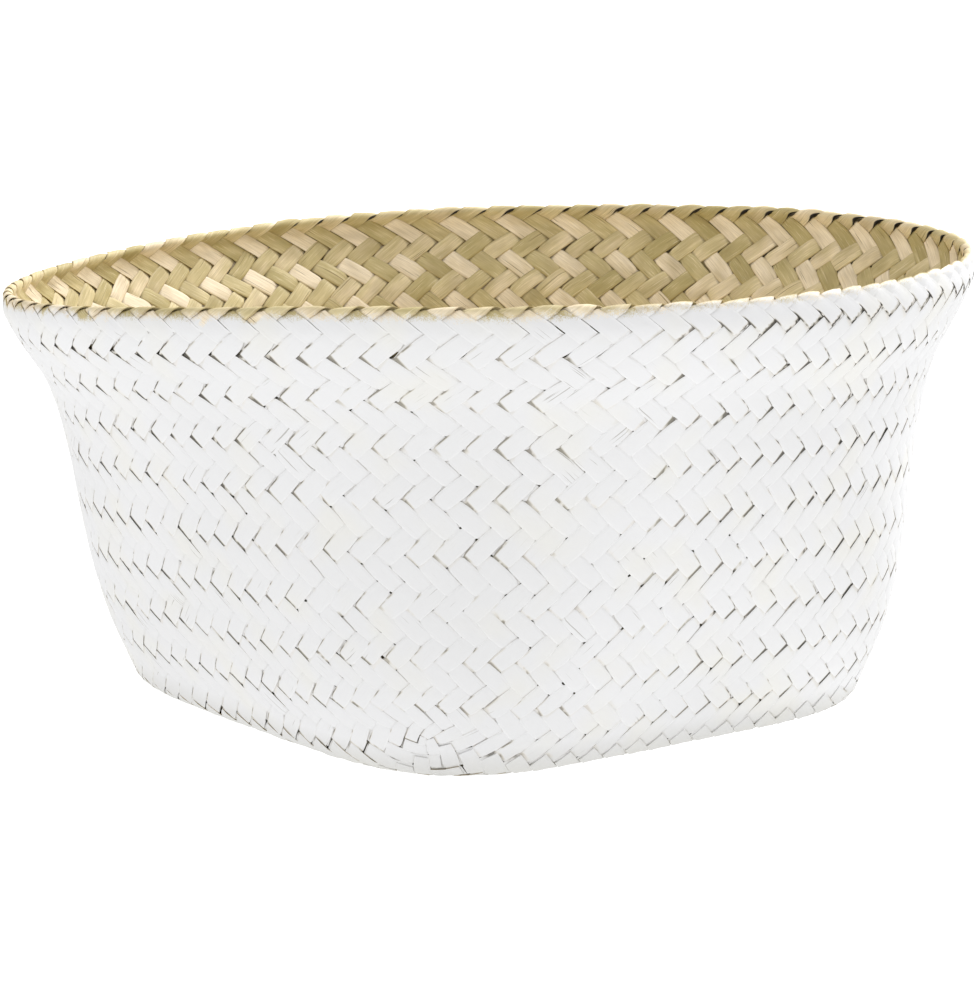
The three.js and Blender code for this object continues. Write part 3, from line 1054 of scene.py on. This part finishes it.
def plait():
    """Every strip of the basket, as pieces that stand for the CAD model's layers and rim."""
    painted = painted_material("chalk paint on sedge")
    natural = natural_material("dried sedge")
    sweep = sweep_tree()
    layers = {
        "outer": (True, painted, "painted_plait", OUTER_LIFT, OUTER_PINCH_SHARE),
        "inner": (False, natural, "natural_plait", STRIP_LIFT, INNER_PINCH_SHARE),
    }
    lattices = {layer: layer_lattice(values[0]) for layer, values in layers.items()}

    def rise_at(row):
        return lambda start: row

    def fall_at(row):
        return lambda start: -2 * start - row

    runs = {
        "outer": ((rise_at(OUTER_RISING_FOOT), rise_at(FOLD_START_ROW)),
                  (fall_at(TUCK_START_ROW), fall_at(OUTER_FALLING_FOOT))),
        "inner": ((rise_at(INNER_RISING_FOOT), rise_at(INNER_FOOT_ROW - TUCK_END_ROW)),
                  (fall_at(INNER_FOOT_ROW - FOLD_END_ROW), fall_at(INNER_FALLING_FOOT))),
    }
    plan = [(f"{layer}_wall_{way}_{half}", layer, f"{layer}_wall", sides, ends)
            for layer in layers for way, ends in zip(("rising", "falling"), runs[layer])
            for half, sides in (("front", (0, 1)), ("back", (2, 3)))]
    plan += [(f"{layer}_bottom_plait", layer, f"{layer}_bottom", range(SIDES), (fall[1], rise[0]))
             for layer, (rise, fall) in runs.items()]
    for order, (name, layer, node, sides, (first, last)) in enumerate(plan):
        outer, material, slot, lift, pinch = layers[layer]
        strips = [strip(lattices[layer], outer, side, start, first(start), last(start))
                  for side in sides for start in np.arange(SIDE_STRIPS) + 0.5
                  if last(start) - first(start) > SHORTEST_STRIP_ROWS]
        least, most = WIDTH_SHARES
        piece = finished(strip_lines(name, strips), sweep, {
            "Thickness": STRIP_THICKNESS * MM, "Lift": lift * MM, "Least Fill": least,
            "Most Fill": most, "Pinch": pinch, "Wander": WANDER * MM,
            "Section Points": SECTION_POINTS, "Seed": SEED + order, "Material": material})
        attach(piece, "root")
        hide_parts(node)
    rim = finished(rim_sheets("rim_folds"), sheet_tree(), {
        "Thickness": STRIP_THICKNESS * MM, "Lift": STRIP_LIFT * MM, "Material": painted})
    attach(rim, "root")
    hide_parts("folded_rim")


def floor():
    """A plain pale floor, wide enough to fill the view."""
    corners = np.array([(-1, -1, 0), (1, -1, 0), (1, 1, 0), (-1, 1, 0)]) * FLOOR_REACH
    made = new_piece("floor", corners, [], [(0, 1, 2, 3)], {})
    material, node, _ = new_material("pale floor")
    matt = node("ShaderNodeBsdfPrincipled",
                {"Base Color": linear(FLOOR_GREY), "Roughness": 0.9, "Emission Color": linear(WHITE),
                 "Emission Strength": FLOOR_GLOW})
    node("ShaderNodeOutputMaterial", {"Surface": matt})
    made.data.materials.append(material)


def softbox(name, place, size, power):
    """A square white area light aimed at the basket."""
    light = bpy.data.lights.new(name, "AREA")
    light.shape = "SQUARE"
    light.size = size * MM
    light.energy = power
    made = bpy.data.objects.new(name, light)
    place = Vector(place) * MM
    aim = Vector((0, 0, BASKET_HEIGHT / 2 * MM)) - place
    made.matrix_world = Matrix.Translation(place) @ aim.to_track_quat("-Z", "Y").to_matrix().to_4x4()
    bpy.context.scene.collection.objects.link(made)


def studio():
    """Plain soft studio light: a bright even surround, a large key above and a weaker fill."""
    world = bpy.data.worlds.new("studio")
    world.use_nodes = True
    world.node_tree.nodes.clear()
    node = partial(add, world.node_tree)
    surround = node("ShaderNodeBackground", {"Color": linear(WHITE), "Strength": SURROUND_STRENGTH})
    node("ShaderNodeOutputWorld", {"Surface": surround})
    bpy.context.scene.world = world
    softbox("key", *KEY_LIGHT)
    softbox("fill", *FILL_LIGHT)
    bpy.context.scene.view_settings.view_transform = "Standard"


def camera():
    """The photograph's view of the basket."""
    sin, cos = math.sin(CAMERA_AZIMUTH), math.cos(CAMERA_AZIMUTH)
    down, level = math.sin(CAMERA_ELEVATION), math.cos(CAMERA_ELEVATION)
    forward = Vector((sin * level, cos * level, -down))
    right = Vector((cos, -sin, 0))
    up = Vector((sin * down, cos * down, level))
    aim = Vector((0, 0, BASKET_HEIGHT / 2)) - AIM_RIGHT * right - AIM_UP * up
    at = aim - CAMERA_DISTANCE * forward
    turn, keep = math.sin(CAMERA_ROLL), math.cos(CAMERA_ROLL)
    axes = Matrix((keep * right - turn * up, turn * right + keep * up, -forward)).transposed()
    data = bpy.data.cameras.new("camera")
    data.sensor_fit = "HORIZONTAL"
    data.sensor_width = SENSOR_WIDTH
    data.lens = SENSOR_WIDTH * FOCAL_PIXELS / IMAGE_WIDTH
    made = bpy.data.objects.new("camera", data)
    made.matrix_world = Matrix.Translation(at * MM) @ axes.to_4x4()
    bpy.context.scene.collection.objects.link(made)
    bpy.context.scene.camera = made


camera()
plait()
floor()
studio()
bpy.context.view_layer.update()
